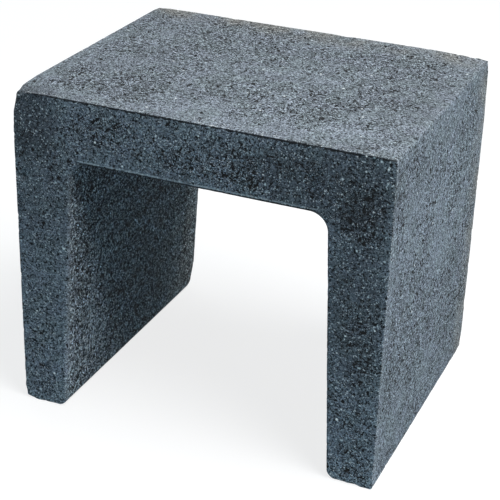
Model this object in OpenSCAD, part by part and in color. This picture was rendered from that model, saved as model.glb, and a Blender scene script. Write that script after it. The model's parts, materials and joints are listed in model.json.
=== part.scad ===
// U-shaped concrete block, cast as one piece and standing on its two legs.
// X runs across the legs, Y along the block, Z up. The origin is on the ground, midway between the feet.

/* [Block] */
// Width over both legs
block_w = 500; // [380:5:700]
// Height from the ground to the top face
block_h = 445; // [300:5:650]
// Length from the front end to the back end
block_l = 400; // [150:5:1000]

/* [Walls] */
// Thickness of the top slab
slab_t = 84; // [60:1:120]
// Thickness of each leg where it meets the slab
leg_root_t = 80; // [66:1:110]
// Thickness of each leg at the ground, less than at the slab so that the core draws out of the mould
leg_foot_t = 62; // [50:1:65]

/* [Edges] */
// Radius of the fillet between the slab and each leg
root_r = 24; // [8:1:45]
// Radius of the two long edges of the top
top_edge_r = 3; // [2:0.5:15]
// Radius of each leg's inner edge at the ground
foot_inner_r = 12; // [4:1:20]
// Radius of each leg's outer edge at the ground
foot_outer_r = 3; // [2:0.5:15]
// Bevel along the outside of the front end and the back end
end_bevel = 2; // [0.5:0.5:2.5]

/* [Hidden] */
$fn = 96;

// How far a cutter runs out past the block
overrun = 10;
half_w = block_w / 2;
slab_under_z = block_h - slab_t;

// Right half of the section, from the outer foot round to the root of the leg: [corner, radius].
right_half = [
    [[half_w - leg_foot_t, 0], foot_inner_r],
    [[half_w, 0], foot_outer_r],
    [[half_w, block_h], top_edge_r]
];
right_root = [[half_w - leg_root_t, slab_under_z], root_r];

function mirrored(corner) = [[-corner[0][0], corner[0][1]], corner[1]];

// The whole section, anticlockwise, as sharp corners that each carry a radius.
corners = concat(
    right_half,
    [for (i = [2:-1:0]) mirrored(right_half[i])],
    [mirrored(right_root), right_root]
);
count = len(corners);

function point(i) = corners[(i + count) % count][0];
function radius(i) = corners[(i + count) % count][1];
function unit(v) = v / norm(v);
function to_last(i) = unit(point(i - 1) - point(i));
function to_next(i) = unit(point(i + 1) - point(i));
function half_angle(i) = acos(to_last(i) * to_next(i)) / 2;
function tangent_length(i) = radius(i) / tan(half_angle(i));
function arc_start(i) = point(i) + to_last(i) * tangent_length(i);
function arc_end(i) = point(i) + to_next(i) * tangent_length(i);
function arc_centre(i) = point(i) + unit(to_last(i) + to_next(i)) * radius(i) / sin(half_angle(i));
function is_convex(i) = cross(to_next(i), to_last(i)) > 0;

// Disc that gives one corner its arc.
module corner_disc(i) {
    translate(arc_centre(i)) circle(r = radius(i));
}

// Section of the block: outside corners are filled out to their arcs, inside corners cut back to theirs.
module section() {
    difference() {
        union() {
            polygon([for (i = [0:count - 1]) each [arc_start(i), arc_end(i)]]);
            for (i = [0:count - 1]) if (is_convex(i)) corner_disc(i);
        }
        for (i = [0:count - 1]) if (!is_convex(i)) corner_disc(i);
    }
}

// Square bar on edge that takes the bevel off an arris.
module bevel_bar(length) {
    rotate(45) cube([end_bevel * sqrt(2), end_bevel * sqrt(2), length + 2 * overrun], center = true);
}

// Bevels along the outside of both ends: across the top, across the feet and up the four upright arrises.
module end_bevels() {
    for (end_y = [-block_l / 2, block_l / 2]) {
        for (z = [0, block_h]) translate([0, end_y, z]) rotate([0, 90, 0]) bevel_bar(block_w);
        for (x = [-half_w, half_w]) translate([x, end_y, block_h / 2]) bevel_bar(block_h);
    }
}

module block() {
    color("dimgray")
        difference() {
            rotate([90, 0, 0]) linear_extrude(block_l, center = true) section();
            end_bevels();
        }
}

block();
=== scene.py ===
# Looks of a cast concrete U-block: worn arrises, open pores, pale grains and a matt anthracite face.
import itertools
import json

import bpy
import numpy as np
from mathutils import Matrix, Vector


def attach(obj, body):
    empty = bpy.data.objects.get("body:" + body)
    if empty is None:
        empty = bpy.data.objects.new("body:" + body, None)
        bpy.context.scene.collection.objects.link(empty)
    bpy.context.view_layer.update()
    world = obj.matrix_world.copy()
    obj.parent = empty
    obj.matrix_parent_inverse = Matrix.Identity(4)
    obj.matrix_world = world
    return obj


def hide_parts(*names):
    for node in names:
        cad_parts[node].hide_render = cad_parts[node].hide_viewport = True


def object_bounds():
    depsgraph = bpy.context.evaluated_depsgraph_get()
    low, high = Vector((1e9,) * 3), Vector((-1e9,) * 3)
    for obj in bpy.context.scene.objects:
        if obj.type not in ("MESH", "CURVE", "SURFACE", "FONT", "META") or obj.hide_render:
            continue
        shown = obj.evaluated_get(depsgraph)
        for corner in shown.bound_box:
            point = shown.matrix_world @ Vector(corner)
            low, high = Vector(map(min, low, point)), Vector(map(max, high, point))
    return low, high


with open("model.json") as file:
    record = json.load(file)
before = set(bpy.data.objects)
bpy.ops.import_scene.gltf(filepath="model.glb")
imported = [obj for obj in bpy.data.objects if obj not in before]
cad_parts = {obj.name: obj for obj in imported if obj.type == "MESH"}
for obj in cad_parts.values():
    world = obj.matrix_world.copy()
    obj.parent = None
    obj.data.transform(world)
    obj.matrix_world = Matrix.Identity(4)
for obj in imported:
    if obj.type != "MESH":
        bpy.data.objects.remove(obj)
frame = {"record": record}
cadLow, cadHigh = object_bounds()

mm = 0.001
tiny = 1e-9  # keeps a division by a length from failing
print("frame loaded, CAD box", tuple(cadLow), tuple(cadHigh))


# Camera

view = {
    "place": (661.5 * mm, -1600.3 * mm, 1043.4 * mm),
    "aim": (-2.2 * mm, -14.7 * mm, 196.8 * mm),
    "roll": 1.79,  # degrees, the horizon falls to the right
    "lens": 101.73,
    "sensor": 36,  # the width that the lens is given for
    "clipStart": 0.05,
}


def addCamera():
    data = bpy.data.cameras.new("camera")
    data.lens = view["lens"]
    data.sensor_width = view["sensor"]
    data.clip_start = view["clipStart"]
    camera = bpy.data.objects.new("camera", data)
    aim = Vector(view["aim"]) - Vector(view["place"])
    turn = aim.to_track_quat("-Z", "Y").to_matrix() @ Matrix.Rotation(np.radians(view["roll"]), 3, "Z")
    camera.matrix_world = Matrix.Translation(view["place"]) @ turn.to_4x4()
    bpy.context.scene.collection.objects.link(camera)
    bpy.context.scene.camera = camera


addCamera()
print("camera set")


# Noise on whole arrays of points

hashFactors = (374761393, 668265263, 2246822519, 3266489917)
hashShifts = (15, 13, 16)


def cellValue(cell, seed):
    # One fixed number from 0 to 1 for each whole-numbered cell: its three indices mixed by an integer hash.
    forX, forY, forZ, forSeed = (np.uint32(n) for n in hashFactors)
    first, second, third = (np.uint32(n) for n in hashShifts)
    c = cell.astype(np.int64).astype(np.uint32)
    h = c[..., 0] * forX ^ c[..., 1] * forY ^ c[..., 2] * forZ
    h = h ^ np.uint32((seed * int(forSeed)) % 2**32)
    h = (h ^ (h >> first)) * forZ
    h = (h ^ (h >> second)) * forSeed
    return (h ^ (h >> third)) / 2.0**32


def smoothNoise(points, size, seed):
    # Values at the corners of a cubic lattice, blended inside each cube by a smooth step. From -1 to 1.
    cell = np.floor(points / size)
    share = points / size - cell
    share = share * share * (3 - 2 * share)
    total = 0
    for corner in itertools.product((0, 1), repeat=3):
        weight = np.prod(np.where(corner, share, 1 - share), axis=-1)
        total = total + weight * cellValue(cell + corner, seed)
    return 2 * total - 1


def layeredNoise(points, size, layers, seed):
    # Each layer has half the size and half the height of the one before.
    total = 0
    for n in range(layers):
        total = total + smoothNoise(points, size / 2**n, seed + n) / 2**n
    return total / (2 - 2.0 ** (1 - layers))


def nearestSeed(points, size, seed):
    # One seed at a random place in each cube: the distance to the nearest one, and its own random number.
    cell = np.floor(points / size)
    best = np.full(len(points), np.inf)
    pick = np.zeros(len(points))
    for step in itertools.product((-1, 0, 1), repeat=3):
        near = cell + step
        spot = np.stack([cellValue(near, seed + n) for n in range(3)], axis=-1)
        gap = np.linalg.norm((near + spot) * size - points, axis=-1)
        closer = gap < best
        best = np.where(closer, gap, best)
        pick = np.where(closer, cellValue(near, seed + 3), pick)
    return best, pick


def ramp(value, low, high):
    # Smooth step from 0 at low to 1 at high: three times the share's square less twice its cube.
    share = np.clip((value - low) / (high - low), 0, 1)
    return share * share * (3 - 2 * share)


# The block

mounts = {m["name"]: m for m in frame["record"]["mounts"]}
block = {
    "name": "concrete_block",
    "halfWidth": cadHigh.x,
    "halfLength": cadHigh.y,
    "height": cadHigh.z,
    "slabUnder": mounts["slab_underside"]["pos_m"][2],
    "legRoot": 80 * mm,  # leg thickness at the slab
    "legFoot": 62 * mm,  # leg thickness at the ground
    "rootRadius": 24 * mm,
    "topRadius": 3 * mm,
    "footInnerRadius": 12 * mm,
    "footOuterRadius": 3 * mm,
    "arris": 0.9 * mm,  # least radius of the end arrises outside
    "mouthArris": 3.6 * mm,  # and round the channel
    "mouthSide": (0.3, 0.7),  # shares of the wall, from outside, between which the one becomes the other
    "crumbled": 2.2 * mm,  # what crumbling adds
    "crumbleNoise": (16 * mm, 3, 11),  # size, layers and seed, as for each noise here
    "crumbleLimits": (0.05, 0.7),  # noise at which crumbling begins and is full
    "sharpAngle": 32,  # degrees between two facets that stay distinct
    "arcPoints": 13,  # round each long edge of the top
    "step": 1.7 * mm,  # grid before it is thinned
    "fineStep": 0.7 * mm,  # grid beside an arris
    "fineBand": 9 * mm,  # how far from an arris the grid widens
    "triangles": 195000,
    "waveDepth": 0.25 * mm,
    "waveNoise": (90 * mm, 2, 41),
    "grainDepth": 0.4 * mm,
    "grainNoise": (5.5 * mm, 2, 47),
    "nickDepth": 1.6 * mm,
    "nickNoise": (7 * mm, 2, 83),
    "nickLimits": (0.1, 0.8),  # noise at which a nick begins and is full
    "nickMargin": (0.5 * mm, 4 * mm),  # from an arris, where nicks begin to fade and are gone
    "openNoise": (60 * mm, 3, 31),
    "openLimits": (-0.45, 0.5),  # noise at which the face begins to open and is fully open
    "pasteMargin": (2 * mm, 26 * mm),  # from an arris, where paste begins to thin and is gone
    "pasteCover": 0.75,  # how much of the open texture paste hides at an arris
    "endMargin": (4 * mm, 9 * mm),  # behind an end, where its roughness begins to fade and is gone
    "channelMargin": (30 * mm, 50 * mm),  # below the outside, where the channel's begins and is full
    # Pores: spacing, least and greatest radius, depth, seed
    "pores": [(8 * mm, 1.3 * mm, 3.0 * mm, 1.5 * mm, 61), (19 * mm, 2.2 * mm, 4.4 * mm, 2.2 * mm, 71)],
    "poreShare": (0.1, 0.7),  # of the seeds that have a pore in paste, and what open texture adds
    "poreShuffle": 37,  # gets a second random number, for the radius, out of a seed's own
    "poreFlank": 0.8,  # share of the radius that slopes
    "poreRagged": 1.3 * mm,  # how far a pore's rim strays
    "raggedNoise": (4 * mm, 53),  # size and seed
    "hollowDepth": (0.3 * mm, 1.4 * mm),  # at which a pore begins to take painted shade and is darkest
    "hollowShade": 0.85,
    # Patches seen in the photo: middle, half sizes, how much more open and how much paler they are.
    # Their paleness is partly the concrete's tone and partly painted light and shade: darker high on the
    # front, lighter low on the front and on the channel's face.
    "patches": [
        ((-60 * mm, -200 * mm, 405 * mm), (150 * mm, 40 * mm, 34 * mm), 0.35, 0.0),
        ((170 * mm, -200 * mm, 400 * mm), (120 * mm, 40 * mm, 60 * mm), 0.15, -0.42),
        ((-235 * mm, -200 * mm, 410 * mm), (60 * mm, 40 * mm, 60 * mm), -0.45, -0.48),
        ((-215 * mm, -200 * mm, 170 * mm), (60 * mm, 40 * mm, 170 * mm), -0.25, 0.0),
        ((-215 * mm, -200 * mm, 320 * mm), (60 * mm, 40 * mm, 90 * mm), 0.0, -0.2),
        ((215 * mm, -200 * mm, 260 * mm), (50 * mm, 40 * mm, 150 * mm), 0.1, -0.36),
        ((-220 * mm, -200 * mm, 60 * mm), (60 * mm, 40 * mm, 110 * mm), 0.0, 0.16),
        ((220 * mm, -200 * mm, 8 * mm), (50 * mm, 40 * mm, 26 * mm), 0.2, 0.2),
        ((-220 * mm, -200 * mm, 8 * mm), (50 * mm, 40 * mm, 26 * mm), 0.2, 0.15),
        ((250 * mm, -190 * mm, 280 * mm), (8 * mm, 14 * mm, 130 * mm), -0.3, 0.25),
        ((0 * mm, -190 * mm, 445 * mm), (260 * mm, 24 * mm, 20 * mm), -0.5, 0.0),
        ((0 * mm, 20 * mm, 445 * mm), (230 * mm, 170 * mm, 20 * mm), 0.2, 0.0),
        ((250 * mm, 20 * mm, 230 * mm), (20 * mm, 190 * mm, 220 * mm), 0.2, 0.09),
        ((250 * mm, 0 * mm, 400 * mm), (20 * mm, 220 * mm, 60 * mm), 0.1, -0.06),
        ((60 * mm, -170 * mm, 445 * mm), (190 * mm, 60 * mm, 20 * mm), 0.0, 0.12),
        ((190 * mm, 0 * mm, 445 * mm), (80 * mm, 110 * mm, 20 * mm), 0.0, -0.1),
        ((-175 * mm, 20 * mm, 230 * mm), (30 * mm, 230 * mm, 200 * mm), 0.6, 0.0),
        ((-178 * mm, 140 * mm, 130 * mm), (30 * mm, 90 * mm, 120 * mm), 0.0, 0.3),
        ((-182 * mm, -150 * mm, 60 * mm), (30 * mm, 90 * mm, 110 * mm), 0.0, 0.15),
    ],
    "patchRim": (0.5, 1.15),  # in half sizes, where a patch begins to fade and is gone
    # Single flaws: place, radius, depth
    "flaws": [
        ((248 * mm, -124 * mm, 444 * mm), 5 * mm, 2.6 * mm),
        ((205 * mm, -200 * mm, 441 * mm), 4 * mm, 1.6 * mm),
        ((222 * mm, -200 * mm, 440 * mm), 5 * mm, 2.0 * mm),
        ((-205 * mm, -200 * mm, 40 * mm), 4 * mm, 1.8 * mm),
        ((-238 * mm, -200 * mm, 330 * mm), 5 * mm, 2.0 * mm),
    ],
    "flawFlank": 0.6,
    "flawRagged": 2 * mm,
    # Worn corners: which way is out, how far inside the outer side, radius, reach along the edges
    "wornCorners": [
        ((-1, -1, 1), 0, 10 * mm, 20 * mm),
        ((1, -1, 1), 0, 4 * mm, 12 * mm),
        ((1, 1, 1), 0, 3 * mm, 14 * mm),
        ((-1, 1, 1), 0, 5 * mm, 16 * mm),
        ((-1, -1, -1), 0, 6 * mm, 14 * mm),
        ((-1, 1, -1), 0, 8 * mm, 20 * mm),
        ((1, 1, -1), 0, 6 * mm, 20 * mm),
        ((1, 1, -1), 438 * mm, 16 * mm, 24 * mm),  # inner foot of the left leg, at the back
    ],
    "wearFade": (0.3, 1.7),  # in reaches, where the wear begins to fade and is gone
    "wearRagged": 0.2,  # how much of its radius the wear varies by
    "wearNoise": (14 * mm, 2, 23),
    # Dips, where a corner lies lower than its faces run: place, radius, depth
    "dips": [
        ((250 * mm, 200 * mm, 445 * mm), 90 * mm, 3.0 * mm),
        ((-250 * mm, -200 * mm, 445 * mm), 60 * mm, 2.5 * mm),
    ],
}


def spaced(low, high, step, fine, band=block["fineBand"]):
    # Stations from low to high: fine ones at each end, growing over a band to the plain step between.
    samples = 4000
    keptFine = 0.2  # share of the band before they grow
    place = low + (high - low) * np.linspace(0, 1, samples + 1)
    edge = np.minimum(place - low, high - place)
    local = fine + (step - fine) * ramp(edge, keptFine * band, band)
    count = np.concatenate([[0], np.cumsum((high - low) / samples / ((local[1:] + local[:-1]) / 2))])
    total = int(np.ceil(count[-1]))
    return np.interp(np.linspace(0, count[-1], total + 1), count, place)


def stripSection():
    # The section is a strip bent to a U: stations run from the left foot to the right one, and at each
    # a rung joins the outside to the inside. Rungs are level at the foot and lean a little up the leg,
    # fan out round the root from the fillet's centre and are upright in the slab.
    # The right half mirrors the left.
    w, h, under = block["halfWidth"], block["height"], block["slabUnder"]
    foot = np.array([-w + block["legFoot"], 0.0])
    root = np.array([-w + block["legRoot"], under])
    r, rTop = block["rootRadius"], block["topRadius"]
    down = (foot - root) / np.linalg.norm(foot - root)
    half = np.arccos(down[0]) / 2
    legEnd = root + down * r / np.tan(half)
    centre = np.array([root[0] + r / np.tan(half), under - r])
    lean = np.arctan2(*(legEnd - centre)[::-1])
    rungRise = centre[1] + np.tan(lean) * (-w - centre[0])

    rise = spaced(0, rungRise, block["step"], block["fineStep"])[:-1]
    share = rise / rungRise
    legOut = np.stack([np.full_like(rise, -w), rise], axis=1)
    legIn = foot + (legEnd - foot) * share[:, None]

    arc = np.radians(np.linspace(180, 90, block["arcPoints"]))
    arcOut = np.array([-w + rTop, h - rTop]) + rTop * np.stack([np.cos(arc), np.sin(arc)], axis=1)
    up = np.arange(rungRise, h - rTop, block["step"])
    across = np.arange(-w + rTop, centre[0], block["step"])[1:]
    turnOut = np.concatenate([
        np.stack([np.full_like(up, -w), up], axis=1),
        arcOut,
        np.stack([across, np.full_like(across, h)], axis=1),
    ])
    sweep = np.arctan2(turnOut[:, 1] - centre[1], turnOut[:, 0] - centre[0]) % (2 * np.pi)
    sweep = np.clip(sweep, np.pi / 2, lean % (2 * np.pi))
    turnIn = centre + r * np.stack([np.cos(sweep), np.sin(sweep)], axis=1)

    slab = np.linspace(centre[0], 0, int(-centre[0] / block["step"]) + 1)
    slabOut = np.stack([slab, np.full_like(slab, h)], axis=1)
    slabIn = np.stack([slab, np.full_like(slab, under)], axis=1)

    out = np.concatenate([legOut, turnOut, slabOut])
    inn = np.concatenate([legIn, turnIn, slabIn])
    mirror = np.array([-1, 1])
    return np.concatenate([out, out[-2::-1] * mirror]), np.concatenate([inn, inn[-2::-1] * mirror])


def lineNormals(line, side):
    # Square to the line at each point, on the side that is asked for.
    run = np.gradient(line, axis=0)
    run = run / np.linalg.norm(run, axis=1, keepdims=True)
    return side * np.stack([-run[:, 1], run[:, 0]], axis=1)


def squeeze(q):
    # Takes a cube of corner offsets to a ball: each keeps its direction,
    # and its length becomes its largest part.
    length = np.linalg.norm(q, axis=-1, keepdims=True)
    return q * np.where(length > 0, q.max(axis=-1, keepdims=True) / np.maximum(length, tiny), 1)


def boxGrid(sizes):
    # Surface of a box of grid cells: the index triple of each vertex, and quads that face outwards.
    quads = []
    for axis in range(3):
        b, c = (axis + 1) % 3, (axis + 2) % 3
        ib, ic = np.meshgrid(np.arange(sizes[b]), np.arange(sizes[c]), indexing="ij")
        for level in (0, sizes[axis]):
            corner = np.zeros(ib.shape + (4, 3), dtype=np.int64)
            for n, (db, dc) in enumerate(((0, 0), (1, 0), (1, 1), (0, 1))):
                corner[..., n, axis] = level
                corner[..., n, b] = ib + db
                corner[..., n, c] = ic + dc
            quads.append((corner if level else corner[:, :, ::-1]).reshape(-1, 4, 3))
    quads = np.concatenate(quads)
    key = (quads[..., 0] * (sizes[1] + 1) + quads[..., 1]) * (sizes[2] + 1) + quads[..., 2]
    keys, faces = np.unique(key, return_inverse=True)
    rest, third = np.divmod(keys, sizes[2] + 1)
    first, second = np.divmod(rest, sizes[1] + 1)
    return np.stack([first, second, third], axis=1), faces.reshape(-1, 4)


def blockSurface():
    # The strip's section carried from the front end to the back.
    # squeeze() rounds the edges of the feet and the arrises of both ends.
    out, inn = stripSection()
    wall = block["legFoot"]
    t = spaced(0, 1, block["step"] / wall, block["fineStep"] / wall, block["fineBand"] / wall)
    y = spaced(-block["halfLength"], block["halfLength"], block["step"], block["fineStep"])
    index, faces = boxGrid((len(out) - 1, len(t) - 1, len(y) - 1))
    s, t, y = index[:, 0], t[index[:, 1]], y[index[:, 2]]

    rung = inn - out
    outNormal, inNormal = lineNormals(out, 1), lineNormals(inn, -1)
    thick = np.abs((rung * outNormal).sum(axis=1))
    flat = out[s] + rung[s] * t[:, None]
    nearOut = t < 0.5
    sideNormal = np.where(nearOut[:, None], outNormal[s], inNormal[s])
    sideDepth = np.where(nearOut, t, 1 - t) * thick[s]
    footDepth = flat[:, 1]

    # Section: round each foot's outer and inner edge
    r = np.where(nearOut, block["footOuterRadius"], block["footInnerRadius"])
    q = np.stack([np.maximum(r - sideDepth, 0), np.maximum(r - footDepth, 0)], axis=1)
    moved = squeeze(q)
    down = np.array([0.0, -1.0])
    flat = flat + (moved - q)[:, :1] * sideNormal + (moved - q)[:, 1:] * down
    depth = np.minimum(sideDepth, footDepth)
    both = (q > 0).all(axis=1)[:, None]
    length = np.maximum(np.linalg.norm(moved, axis=1), tiny)[:, None]
    corner = (moved[:, :1] * sideNormal + moved[:, 1:] * down) / length
    plain = np.where((sideDepth <= footDepth)[:, None], sideNormal, down)
    normal = np.where(both, corner, plain)

    # Ends: a small radius that varies along the arris, where grains have crumbled out
    edge = flat + normal * depth[:, None]
    arris = np.stack([edge[:, 0], np.sign(y) * block["halfLength"], edge[:, 1]], axis=1)
    crumble = ramp(layeredNoise(arris, *block["crumbleNoise"]), *block["crumbleLimits"])
    atMouth = ramp(t, *block["mouthSide"])
    r = block["arris"] + (block["mouthArris"] - block["arris"]) * atMouth + block["crumbled"] * crumble
    q = np.stack([np.maximum(r - depth, 0), np.maximum(r - block["halfLength"] + np.abs(y), 0)], axis=1)
    moved = squeeze(q) - q
    flat = flat + moved[:, :1] * normal
    y = y + moved[:, 1] * np.sign(y)
    return np.stack([flat[:, 0], y, flat[:, 1]], axis=1), faces


def wearCorners(points):
    # At a worn corner what lies outside a ball in the corner's three faces is drawn in to the ball.
    # The ball shrinks with the distance from the corner, so the wear fades out along the edges.
    half = np.array([block["halfWidth"], block["halfLength"], block["height"] / 2])
    middle = np.array([0, 0, block["height"] / 2])
    begin, end = block["wearFade"]
    for outward, inset, radius, reach in block["wornCorners"]:
        outward = np.array(outward)
        depth = half - (inset, 0, 0) - (points - middle) * outward
        gap = np.linalg.norm(depth, axis=1)
        ragged = 1 + block["wearRagged"] * layeredNoise(points, *block["wearNoise"])
        r = radius * ragged * (1 - ramp(gap, begin * reach, end * reach))
        q = np.where(r[:, None] > 0, np.maximum(r[:, None] - depth, 0), 0)
        length = np.linalg.norm(q, axis=1)
        share = np.minimum(1, r / np.maximum(length, tiny))
        points = points + q * (share - 1)[:, None] * outward
    return points


def arrisDistance(points):
    # The second smallest of a point's depths below the sides, the top, the feet, the channel's faces
    # and the ends. On a face the smallest is that face's own, so the second leads to the nearest arris.
    x, y, z = np.abs(points[:, 0]), np.abs(points[:, 1]), points[:, 2]
    w, under = block["halfWidth"], block["slabUnder"]
    channel = w - block["legFoot"] - (block["legRoot"] - block["legFoot"]) * z / under
    inner = np.hypot(np.maximum(x - channel, 0), np.maximum(z - under, 0))
    depths = np.stack([w - x, block["height"] - z, z, inner, block["halfLength"] - y], axis=1)
    return np.sort(depths, axis=1)[:, 1]


def roughFaces(points):
    # 0 on the smoother top and sides, 1 on the two ends, where grains stand free, and 2 in the channel.
    x, y, z = np.abs(points[:, 0]), np.abs(points[:, 1]), points[:, 2]
    inside = np.minimum(block["halfWidth"] - x, block["height"] - z)
    pastEnd = ramp(block["halfLength"] - y, *block["endMargin"])
    return 1 - pastEnd + 2 * pastEnd * ramp(inside, *block["channelMargin"])


def patchSums(points):
    # How much more open and how much paler the patches make each point. A patch fades out towards its rim.
    opened, paled = 0, 0
    for middle, half, moreOpen, paler in block["patches"]:
        reach = np.linalg.norm((points - middle) / half, axis=1)
        share = 1 - ramp(reach, *block["patchRim"])
        opened = opened + moreOpen * share
        paled = paled + paler * share
    return opened, paled


def openTexture(points):
    # From 0, where cement paste covers the face, to 1, where the face is open and grainy.
    # It follows a noise and the patches, and paste gathers at the arrises.
    patchy = layeredNoise(points, *block["openNoise"]) + patchSums(points)[0]
    paste = 1 - ramp(arrisDistance(points), *block["pasteMargin"])
    return ramp(patchy, *block["openLimits"]) * (1 - block["pasteCover"] * paste)


def poreDepth(points, openness):
    # Ragged pits round scattered seeds, in two sizes. The more open the face, the more seeds have one.
    # The single flaws are pits at listed places.
    size, seed = block["raggedNoise"]
    warp = np.stack([smoothNoise(points, size, seed + n) for n in range(3)], axis=1)
    fewest, added = block["poreShare"]
    share = fewest + added * openness**2
    down = 0
    for size, least, most, deep, seed in block["pores"]:
        gap, pick = nearestSeed(points + block["poreRagged"] * warp, size, seed)
        radius = least + (most - least) * (pick * block["poreShuffle"] % 1)
        down = down + np.where(pick < share, deep * ramp(1 - gap / radius, 0, block["poreFlank"]), 0)
    for place, radius, deep in block["flaws"]:
        gap = np.linalg.norm(points + block["flawRagged"] * warp - place, axis=1)
        down = np.maximum(down, deep * ramp(1 - gap / radius, 0, block["flawFlank"]))
    return down


def relief(points):
    # How far the face lies below the mould's: a slow wave, grain, nicked arrises, dipped corners and pores.
    openness = openTexture(points)
    wave = block["waveDepth"] * (1 + layeredNoise(points, *block["waveNoise"]))
    grain = block["grainDepth"] * openness * (1 - layeredNoise(points, *block["grainNoise"])) / 2
    atArris = 1 - ramp(arrisDistance(points), *block["nickMargin"])
    nicked = ramp(layeredNoise(points, *block["nickNoise"]), *block["nickLimits"])
    nick = block["nickDepth"] * atArris * nicked
    dip = 0
    for place, radius, deep in block["dips"]:
        dip = dip + deep * ramp(1 - np.linalg.norm(points - place, axis=1) / radius, 0, 1)
    return wave + grain + nick + dip + poreDepth(points, openness)


def makeMesh(name, points, faces):
    mesh = bpy.data.meshes.new(name)
    mesh.vertices.add(len(points))
    mesh.vertices.foreach_set("co", points.astype(np.float32).ravel())
    mesh.loops.add(faces.size)
    mesh.loops.foreach_set("vertex_index", faces.astype(np.int32).ravel())
    mesh.polygons.add(len(faces))
    mesh.polygons.foreach_set("loop_start", np.arange(0, faces.size, faces.shape[1], dtype=np.int32))
    mesh.update(calc_edges=True)
    mesh.polygons.foreach_set("use_smooth", np.ones(len(faces), dtype=bool))
    return mesh


def vertexNormals(mesh):
    normals = np.empty(len(mesh.vertices) * 3, dtype=np.float32)
    mesh.vertex_normals.foreach_get("vector", normals)
    return normals.reshape(-1, 3)


def thinned(mesh, triangles):
    # Flat stretches lose most of their vertices, pores and arrises keep more of theirs.
    carrier = bpy.data.objects.new("carrier", mesh)
    bpy.context.scene.collection.objects.link(carrier)
    thin = carrier.modifiers.new("thin", "DECIMATE")
    thin.ratio = triangles / (2 * len(mesh.polygons))
    thin.use_collapse_triangulate = True
    bpy.context.view_layer.update()
    result = bpy.data.meshes.new_from_object(carrier.evaluated_get(bpy.context.evaluated_depsgraph_get()))
    bpy.data.objects.remove(carrier)
    bpy.data.meshes.remove(mesh)
    return result


def markSurface(mesh):
    # Vertex values for the material: open texture, the patches' tone, partly painted light and shade,
    # how rough the face is, and the painted shade of a pore at that depth.
    points = np.empty(len(mesh.vertices) * 3, dtype=np.float32)
    mesh.vertices.foreach_get("co", points)
    points = points.reshape(-1, 3).astype(float)
    openness = openTexture(points)
    marks = {
        "openness": openness,
        "paleness": 1 + patchSums(points)[1],
        "roughness": roughFaces(points),
        "hollow": block["hollowShade"] * ramp(poreDepth(points, openness), *block["hollowDepth"]),
    }
    for name, values in marks.items():
        mesh.attributes.new(name, "FLOAT", "POINT").data.foreach_set("value", values.astype(np.float32))


def buildBlock():
    points, faces = blockSurface()
    points = wearCorners(points)
    a, b, c, d = (points[faces[:, n]] for n in range(4))
    if np.einsum("ij,ij->", a, np.cross(b, c)) + np.einsum("ij,ij->", a, np.cross(c, d)) < 0:
        faces = faces[:, ::-1]
    mesh = makeMesh(block["name"], points, faces)
    points = points - vertexNormals(mesh) * relief(points)[:, None]
    mesh.vertices.foreach_set("co", points.astype(np.float32).ravel())
    mesh.update()
    print("block surface", len(points), "vertices")
    mesh = thinned(mesh, block["triangles"])
    mesh.name = block["name"]
    mesh.set_sharp_from_angle(angle=np.radians(block["sharpAngle"]))
    markSurface(mesh)
    print("thinned to", len(mesh.polygons), "triangles")
    return bpy.data.objects.new(block["name"], mesh)


concreteBlock = buildBlock()
bpy.context.scene.collection.objects.link(concreteBlock)


# Concrete

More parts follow.
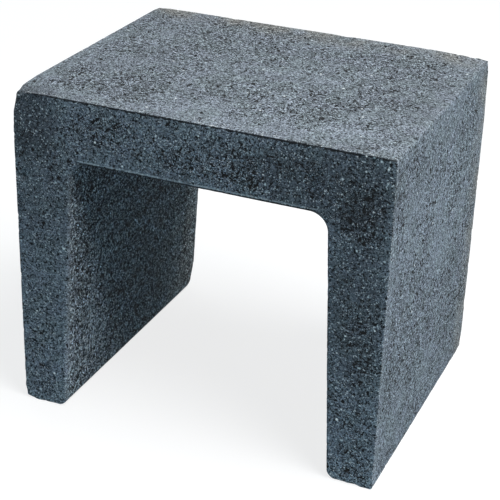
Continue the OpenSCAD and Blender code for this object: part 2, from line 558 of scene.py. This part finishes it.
concrete = {
    "stone": (0.192, 0.219, 0.255),
    "greenish": (0.178, 0.214, 0.230),
    "warm": (0.220, 0.215, 0.200),  # silt along the back
    "pale": (0.64, 0.68, 0.69),  # bright grains, and the painted highlight line over the mouth
    # near-black painted shade for pores, the gaps between loose grains and the lines under the arrises
    "pore": (0.004, 0.005, 0.006),
    # Grains: size, power of their tone in paste and in open texture, and what the channel adds to it
    "grains": [(1.4 * mm, 1.0, 1.6, 0.8), (2.5 * mm, 0.1, 0.2, 1.5)],
    "grainWarp": 1.6 * mm,
    "grainGap": (0.04, 0.14),  # painted shade in the gap between grains, in grain sizes from its middle
    "grainDome": (0.45, 1.2 * mm),  # where a grain's flank ends, in grain sizes, and its height
    "clusterNoise": (8 * mm, 2.0, 23.0),  # size, detail and seed, as for each noise here
    "clusterLimits": (0.54, 0.42),  # noise at which grains lie loose in paste and in open texture
    "clusterFade": 0.09,
    "looseTone": (1.35, 1.7),  # of loose grains on smooth and on rough faces, which makes up for the gaps
    "gapShade": (0.6, 0.97),  # on smooth and on rough faces
    # Share of the grains up to a tone, and that tone
    "grainTones": [(0.0, 0.02), (0.10, 0.10), (0.28, 0.60), (0.6, 1.0), (0.85, 1.4), (1.0, 1.9)],
    "brightShares": (0.92, 0.97),  # of the grains, where the bright ones begin and are full
    "brightness": (0.12, 0.85),  # of these on smooth and on rough faces
    "quartzShare": 0.002,  # of the larger grains
    # Pale flecks seen on the front, pale grains and partly a painted glint: across, up, radius
    "flecks": [
        (-204 * mm, 49 * mm, 2.2 * mm), (-183 * mm, 240 * mm, 2.2 * mm), (-227 * mm, 139 * mm, 1.5 * mm),
        (198 * mm, 90 * mm, 2.2 * mm), (203 * mm, 106 * mm, 1.7 * mm), (209 * mm, 324 * mm, 1.7 * mm),
        (238 * mm, 225 * mm, 1.6 * mm), (202 * mm, 209 * mm, 1.6 * mm), (240 * mm, 432 * mm, 1.8 * mm),
        (5 * mm, 429 * mm, 1.6 * mm), (-97 * mm, 371 * mm, 1.6 * mm), (-134 * mm, 395 * mm, 1.5 * mm),
        (222 * mm, 442 * mm, 2.2 * mm), (231 * mm, 440 * mm, 1.8 * mm), (213 * mm, 443 * mm, 1.6 * mm),
    ],
    "fleckDepth": 0.6 * mm,
    "fleckCore": 0.6,  # share of the radius that is all pale
    "fleckColour": (0.93, 0.95, 0.93),
    # Pores: size, and the part of the noise that is a pore in paste and in open texture
    "pores": [(4.2 * mm, 0.355, 0.405), (6.5 * mm, 0.335, 0.372), (11 * mm, 0.25, 0.31)],
    "poreDetail": 1.2,
    "poreRim": 0.02,
    "poreDepth": 0.5 * mm,
    # Clouds: size, least and greatest value, seed
    "mottle": (14 * mm, 0.94, 1.06, 5.0),
    "clouds": (110 * mm, 0.97, 1.03, 7.0),
    "silt": (45 * mm, 0.2, 1.0, 13.0),
    "green": (24 * mm, 0.0, 0.7, 17.0),
    "cloudDetail": 2.0,
    "cloudLimits": (0.35, 0.65),  # what most of the noise lies between
    "backMargin": (70 * mm, 260 * mm),  # how far from the back silt lies on the outside and in the channel
    "backSilt": 0.9,  # share of it at the back end
    "reliefNoise": (4.0 * mm, 0.6, 19.0),
    "reliefHeight": 2.2 * mm,  # of the whole noise, most of which lies in its middle third
    "reliefOpen": (0.8, 0.6, 1.0),  # open texture at which it is full, and its share in paste and there
    "noiseRoughness": 0.6,
    "noiseMiddle": 0.5,
    "lineDepth": (1.2 * mm, 2.4 * mm),  # how near an end a line along its arris lies
    "lineFlank": 0.7,  # share of a line's height at which it begins to fade
    "shadowLine": (0.5 * mm, 3.6 * mm),  # dark line under the ends' upper arris
    "shadowNoise": (8 * mm, 3.0, 29.0),
    "shadowRagged": 9 * mm,  # how much its lower edge wanders, over the whole noise
    "shadowShade": 0.93,
    "mouthLines": (3.4 * mm, 6.4 * mm),  # tops of the painted shade line and the painted highlight line on the mouth's upper arris
    "mouthDepth": (2.0, 2.4),  # how near an end they lie, in radii of that arris
    "mouthFlanks": (0.8, 1.3),  # of the dark line's top, where it begins to fade and the bright one is full
    "brightNoise": (8 * mm, 3.0, 11.0),
    "brightBreaks": (0.35, 0.6, 0.35, 1.0),  # noise limits, and how bright the line is below and above them
    # share of the pale colour in the painted highlight line over the mouth
    "brightLine": 0.7,
    "roughness": 0.92,
    "specular": 0.25,
}


def put(tree, socket, value):
    # A socket takes another node's output, or a plain value.
    if isinstance(value, bpy.types.NodeSocket):
        tree.links.new(value, socket)
    else:
        socket.default_value = value


def maths(tree, operation, first, second=0.0):
    node = tree.nodes.new("ShaderNodeMath")
    node.operation = operation
    put(tree, node.inputs[0], first)
    put(tree, node.inputs[1], second)
    return node.outputs[0]


def combined(tree, operation, values):
    total = values[0]
    for value in values[1:]:
        total = maths(tree, operation, total, value)
    return total


def product(tree, *values):
    return combined(tree, "MULTIPLY", values)


def largest(tree, *values):
    return combined(tree, "MAXIMUM", values)


def span(tree, value, low, high, atLow=0.0, atHigh=1.0):
    # Smooth step of a value between two limits, given out between two others.
    node = tree.nodes.new("ShaderNodeMapRange")
    node.interpolation_type = "SMOOTHSTEP"
    limits = {"Value": value, "From Min": low, "From Max": high, "To Min": atLow, "To Max": atHigh}
    for name, limit in limits.items():
        put(tree, node.inputs[name], limit)
    return node.outputs["Result"]


def between(tree, share, atNone, atFull):
    # From one value where the share is 0 to another where it is 1.
    return span(tree, share, 0.0, 1.0, atNone, atFull)


def fading(tree, value, low, high):
    # From 1 at the lower limit to 0 at the upper one.
    return span(tree, value, low, high, 1.0, 0.0)


def noise(tree, place, size, detail, seed):
    node = tree.nodes.new("ShaderNodeTexNoise")
    node.noise_dimensions = "4D"
    put(tree, node.inputs["Vector"], place)
    node.inputs["W"].default_value = seed
    node.inputs["Scale"].default_value = 1 / size
    node.inputs["Detail"].default_value = detail
    node.inputs["Roughness"].default_value = concrete["noiseRoughness"]
    return node.outputs["Fac"]


def clouds(tree, place, size, least, greatest, seed):
    # A slow noise, given out between two limits.
    slow = noise(tree, place, size, concrete["cloudDetail"], seed)
    return span(tree, slow, *concrete["cloudLimits"], least, greatest)


def warped(tree, place, reach, size):
    # Places moved a little by a noise, so that cells get crooked edges.
    node = tree.nodes.new("ShaderNodeTexNoise")
    put(tree, node.inputs["Vector"], place)
    node.inputs["Scale"].default_value = 1 / size
    shift = tree.nodes.new("ShaderNodeVectorMath")
    shift.operation = "MULTIPLY_ADD"
    put(tree, shift.inputs[0], node.outputs["Color"])
    shift.inputs[1].default_value = (reach, reach, reach)
    put(tree, shift.inputs[2], place)
    return shift.outputs[0]


def cellEdge(tree, place, size):
    # Distance to the edge of the cell, in cell sizes.
    cells = tree.nodes.new("ShaderNodeTexVoronoi")
    cells.feature = "DISTANCE_TO_EDGE"
    cells.inputs["Scale"].default_value = 1 / size
    put(tree, cells.inputs["Vector"], place)
    return cells.outputs["Distance"]


def cellNumber(tree, place, size):
    # One random number from 0 to 1 for each cell round scattered seeds.
    cells = tree.nodes.new("ShaderNodeTexVoronoi")
    cells.inputs["Scale"].default_value = 1 / size
    put(tree, cells.inputs["Vector"], place)
    parts = tree.nodes.new("ShaderNodeSeparateColor")
    put(tree, parts.inputs[0], cells.outputs["Color"])
    return parts.outputs[0]


def grainTone(tree, pick):
    # Straight lines between the listed shares and tones.
    node = tree.nodes.new("ShaderNodeValToRGB")
    stops = node.color_ramp.elements
    for n, (share, tone) in enumerate(concrete["grainTones"]):
        stop = stops[n] if n < len(stops) else stops.new(share)
        stop.position = share
        stop.color = (tone, tone, tone, 1)
    put(tree, node.inputs[0], pick)
    return node.outputs[0]


def blend(tree, share, first, second, kind="MIX"):
    node = tree.nodes.new("ShaderNodeMix")
    node.data_type = "RGBA"
    node.blend_type = kind
    put(tree, node.inputs["Factor"], share)
    for name, value in (("A", first), ("B", second)):
        put(tree, node.inputs[name], value if isinstance(value, bpy.types.NodeSocket) else (*value, 1))
    return node.outputs["Result"]


def attribute(tree, name):
    node = tree.nodes.new("ShaderNodeAttribute")
    node.attribute_name = name
    return node.outputs["Fac"]


def sandGrains(tree, tone, crooked, openness, rough, inChannel):
    # Every grain has a random tone of its own, by which the tone is multiplied, and the lightest are pale.
    # The contrast grows with open texture and in the channel. A few of the last, larger grains are quartz.
    pale = 0.0
    for size, inPaste, inOpen, added in concrete["grains"]:
        pick = cellNumber(tree, crooked, size)
        contrast = between(tree, openness, inPaste, inOpen)
        contrast = maths(tree, "ADD", contrast, product(tree, inChannel, added))
        tone = product(tree, tone, maths(tree, "POWER", grainTone(tree, pick), contrast))
        lightest = product(tree, contrast, between(tree, rough, *concrete["brightness"]))
        pale = largest(tree, pale, span(tree, pick, *concrete["brightShares"], 0.0, lightest))
    quartz = maths(tree, "GREATER_THAN", pick, 1 - concrete["quartzShare"])
    return tone, largest(tree, pale, quartz)


def looseGrains(tree, place, openness):
    # 1 in clusters of loose grains, where a noise is above a limit, and 0 where grains are bedded in paste.
    limit = between(tree, openness, *concrete["clusterLimits"])
    over = maths(tree, "SUBTRACT", noise(tree, place, *concrete["clusterNoise"]), limit)
    return span(tree, over, 0.0, concrete["clusterFade"])


def fleckMask(tree, crooked):
    # 1 inside a ball round each listed place, just behind the front.
    shift = concrete["grainWarp"] / 2  # what the warp adds on average
    y = concrete["fleckDepth"] - block["halfLength"]
    fleck = 0.0
    for x, z, radius in concrete["flecks"]:
        away = tree.nodes.new("ShaderNodeVectorMath")
        away.operation = "DISTANCE"
        put(tree, away.inputs[0], crooked)
        away.inputs[1].default_value = (x + shift, y + shift, z + shift)
        ball = fading(tree, away.outputs["Value"], concrete["fleckCore"] * radius, radius)
        fleck = largest(tree, fleck, ball)
    return fleck


def poreMask(tree, place, openness):
    # 1 where a noise is lowest, in a few sizes.
    pore = 0.0
    for size, inPaste, inOpen in concrete["pores"]:
        limit = between(tree, openness, inPaste, inOpen)
        over = maths(tree, "SUBTRACT", noise(tree, place, size, concrete["poreDetail"], size / mm), limit)
        pore = largest(tree, pore, fading(tree, over, -concrete["poreRim"], 0.0))
    return pore


def arrisLines(tree, place, axes):
    # Painted shade and highlight along the ends' arrises: a ragged painted shadow under the upper one,
    # and over the mouth a painted shade line with a broken painted highlight line above it.
    across = maths(tree, "ABSOLUTE", axes.outputs[0])
    inward = maths(tree, "SUBTRACT", block["halfLength"], maths(tree, "ABSOLUTE", axes.outputs[1]))
    below = maths(tree, "SUBTRACT", block["height"], axes.outputs[2])
    above = maths(tree, "SUBTRACT", axes.outputs[2], block["slabUnder"])
    flank = concrete["lineFlank"]

    near, far = concrete["shadowLine"]
    wander = maths(tree, "SUBTRACT", noise(tree, place, *concrete["shadowNoise"]), concrete["noiseMiddle"])
    lower = maths(tree, "ADD", below, product(tree, wander, concrete["shadowRagged"]))
    atEnd = fading(tree, inward, *concrete["lineDepth"])
    shadow = product(tree, atEnd, span(tree, below, near, 2 * near), fading(tree, lower, flank * far, far))

    darkTop, brightTop = concrete["mouthLines"]
    darkFlank, brightFlank = concrete["mouthFlanks"]
    mouthHalf = block["halfWidth"] - block["legRoot"]
    depth = [radii * block["mouthArris"] for radii in concrete["mouthDepth"]]
    atMouth = product(tree, fading(tree, inward, *depth), span(tree, above, -darkTop, 0.0),
                      fading(tree, across, mouthHalf - block["rootRadius"], mouthHalf))
    dark = product(tree, atMouth, fading(tree, above, darkFlank * darkTop, darkTop))
    broken = span(tree, noise(tree, place, *concrete["brightNoise"]), *concrete["brightBreaks"])
    bright = product(tree, atMouth, broken, span(tree, above, darkTop, brightFlank * darkTop),
                     fading(tree, above, flank * brightTop, brightTop))
    return largest(tree, shadow, dark), bright


def siltMask(tree, place, axes, inChannel):
    # Cloudy silt that thins out from the back end, farther along in the channel than outside.
    margin = between(tree, inChannel, *concrete["backMargin"])
    fromBack = maths(tree, "SUBTRACT", block["halfLength"], axes.outputs[1])
    back = span(tree, fromBack, 0.0, margin, concrete["backSilt"], 0.0)
    return product(tree, back, clouds(tree, place, *concrete["silt"]))


def concreteMaterial():
    material = bpy.data.materials.new("concrete")
    material.use_nodes = True
    tree = material.node_tree
    shader = tree.nodes["Principled BSDF"]
    place = tree.nodes.new("ShaderNodeTexCoord").outputs["Object"]
    axes = tree.nodes.new("ShaderNodeSeparateXYZ")
    tree.links.new(place, axes.inputs[0])
    marks = ("openness", "paleness", "roughness", "hollow")
    openness, paleness, rough, hollow = (attribute(tree, name) for name in marks)
    inChannel = span(tree, rough, 1.0, 2.0)  # rough is 1 on the ends and 2 in the channel

    # Grains, loose in clusters and bedded in paste between them
    coarseGrain = concrete["grains"][-1][0]
    crooked = warped(tree, place, concrete["grainWarp"], coarseGrain)
    mottle = clouds(tree, place, *concrete["mottle"])
    # The patches' paleness, partly painted light and shade, times the mottle and the clouds
    tone = product(tree, paleness, mottle, clouds(tree, place, *concrete["clouds"]))
    tone, pale = sandGrains(tree, tone, crooked, openness, rough, inChannel)
    loose = looseGrains(tree, place, openness)
    tone = product(tree, tone, between(tree, loose, 1.0, between(tree, rough, *concrete["looseTone"])))
    edge = cellEdge(tree, crooked, coarseGrain)
    gapShade = between(tree, rough, *concrete["gapShade"])
    gap = product(tree, loose, fading(tree, edge, *concrete["grainGap"]), gapShade)
    flankEnd, domeHeight = concrete["grainDome"]
    dome = product(tree, loose, span(tree, edge, 0.0, flankEnd, 0.0, domeHeight))

    # Colour
    pore = poreMask(tree, place, openness)
    shadow, bright = arrisLines(tree, place, axes)
    colour = blend(tree, clouds(tree, place, *concrete["green"]), concrete["stone"], concrete["greenish"])
    colour = blend(tree, siltMask(tree, place, axes, inChannel), colour, concrete["warm"])
    toneColour = tree.nodes.new("ShaderNodeCombineColor")
    for socket in toneColour.inputs:
        tree.links.new(tone, socket)
    colour = blend(tree, 1.0, colour, toneColour.outputs[0], "MULTIPLY")
    colour = blend(tree, pale, colour, concrete["pale"])
    # Painted highlight: a broken pale line over the mouth's upper arris
    colour = blend(tree, product(tree, bright, concrete["brightLine"]), colour, concrete["pale"])
    # Painted shade: pores, pits by their depth, the line under the upper arris, the mouth's dark line and
    # the gaps between loose grains go near black.
    dark = largest(tree, pore, hollow, product(tree, shadow, concrete["shadowShade"]), gap)
    colour = blend(tree, dark, colour, concrete["pore"])
    # Pale flecks: pale grains, bright enough to be partly a painted glint
    colour = blend(tree, fleckMask(tree, crooked), colour, concrete["fleckColour"])
    put(tree, shader.inputs["Base Color"], colour)
    shader.inputs["Roughness"].default_value = concrete["roughness"]
    shader.inputs["Specular IOR Level"].default_value = concrete["specular"]

    # Relief finer than the mesh, in metres
    fullAt, *shares = concrete["reliefOpen"]
    coarse = span(tree, openness, 0.0, fullAt, *shares)
    height = product(tree, noise(tree, place, *concrete["reliefNoise"]), coarse, concrete["reliefHeight"])
    height = maths(tree, "ADD", height, dome)
    height = maths(tree, "SUBTRACT", height, product(tree, pore, concrete["poreDepth"]))
    bump = tree.nodes.new("ShaderNodeBump")
    bump.inputs["Distance"].default_value = 1
    bump.inputs["Strength"].default_value = 1
    put(tree, bump.inputs["Height"], height)
    put(tree, shader.inputs["Normal"], bump.outputs["Normal"])
    return material


concreteBlock.data.materials.clear()
concreteBlock.data.materials.append(concreteMaterial())
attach(concreteBlock, "root")
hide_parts("block")
print("block finished")


# Floor, world and lamps

studio = {
    "floorHalf": 6.0,
    "floorGlow": 0.80,  # what the camera sees of the floor apart from its lit colour
    "floorColour": 0.25,
    "floorLight": 0.125,  # what it adds to the light from below
    "floorTint": (0.62, 0.92, 1.12),  # colour of all light from the floor, but not of what the camera sees
    "ambient": (0.110, 0.163, 0.200),
    "lamps": [
        # name, place, aim, width, power, colour
        ("key lamp", (2.05, -0.30, 3.30), (0, 0, 0.25), 3.0, 204, (1, 1, 1)),
        ("front lamp", (2.4, -1.9, 0.8), (0, 0, 0.2), 2.0, 5, (0.5, 0.82, 1)),
        ("back lamp", (-2.6, 2.2, 1.4), (0, 0, 0.2), 2.0, 14, (1, 1, 1)),
    ],
}


def cameraMask(nodes, links):
    # 1 for rays that show the background: seen straight, in a reflection or through glass.
    path = nodes.new("ShaderNodeLightPath")
    first = nodes.new("ShaderNodeMath")
    first.operation = "MAXIMUM"
    links.new(path.outputs["Is Camera Ray"], first.inputs[0])
    links.new(path.outputs["Is Glossy Ray"], first.inputs[1])
    second = nodes.new("ShaderNodeMath")
    second.operation = "MAXIMUM"
    links.new(first.outputs[0], second.inputs[0])
    links.new(path.outputs["Is Transmission Ray"], second.inputs[1])
    return second.outputs[0]


def addFloor():
    half = studio["floorHalf"]
    corners = np.array([(-half, -half, 0), (half, -half, 0), (half, half, 0), (-half, half, 0)])
    floor = bpy.data.objects.new("floor", makeMesh("floor", corners, np.array([[0, 1, 2, 3]])))
    material = bpy.data.materials.new("floor")
    material.use_nodes = True
    nodes, links = material.node_tree.nodes, material.node_tree.links
    shader = nodes["Principled BSDF"]
    shader.inputs["Roughness"].default_value = 1
    shader.inputs["Specular IOR Level"].default_value = 0
    mask = cameraMask(nodes, links)
    for name, tone in (("Base Color", studio["floorColour"]), ("Emission Color", 1)):
        tint = nodes.new("ShaderNodeMix")
        tint.data_type = "RGBA"
        tint.inputs["A"].default_value = (*[tone * part for part in studio["floorTint"]], 1)
        tint.inputs["B"].default_value = (tone, tone, tone, 1)
        links.new(mask, tint.inputs["Factor"])
        links.new(tint.outputs["Result"], shader.inputs[name])
    glow = nodes.new("ShaderNodeMapRange")
    glow.inputs["To Min"].default_value = studio["floorLight"]
    glow.inputs["To Max"].default_value = studio["floorGlow"]
    links.new(mask, glow.inputs["Value"])
    links.new(glow.outputs["Result"], shader.inputs["Emission Strength"])
    floor.data.materials.append(material)
    bpy.context.scene.collection.objects.link(floor)


def addWorld():
    world = bpy.data.worlds.new("studio")
    bpy.context.scene.world = world
    world.use_nodes = True
    nodes, links = world.node_tree.nodes, world.node_tree.links
    back = nodes["Background"]
    mix = nodes.new("ShaderNodeMix")
    mix.data_type = "RGBA"
    mix.inputs["A"].default_value = (*studio["ambient"], 1)
    mix.inputs["B"].default_value = (1, 1, 1, 1)
    links.new(cameraMask(nodes, links), mix.inputs["Factor"])
    links.new(mix.outputs["Result"], back.inputs["Color"])


def addLamps():
    for name, place, aim, width, power, colour in studio["lamps"]:
        data = bpy.data.lights.new(name, "AREA")
        data.shape = "DISK"
        data.size = width
        data.energy = power
        data.color = colour
        lamp = bpy.data.objects.new(name, data)
        turn = (Vector(aim) - Vector(place)).to_track_quat("-Z", "Y")
        lamp.matrix_world = Matrix.Translation(place) @ turn.to_matrix().to_4x4()
        bpy.context.scene.collection.objects.link(lamp)


addFloor()
addWorld()
addLamps()
bpy.context.scene.view_settings.view_transform = "Standard"
print("studio set")
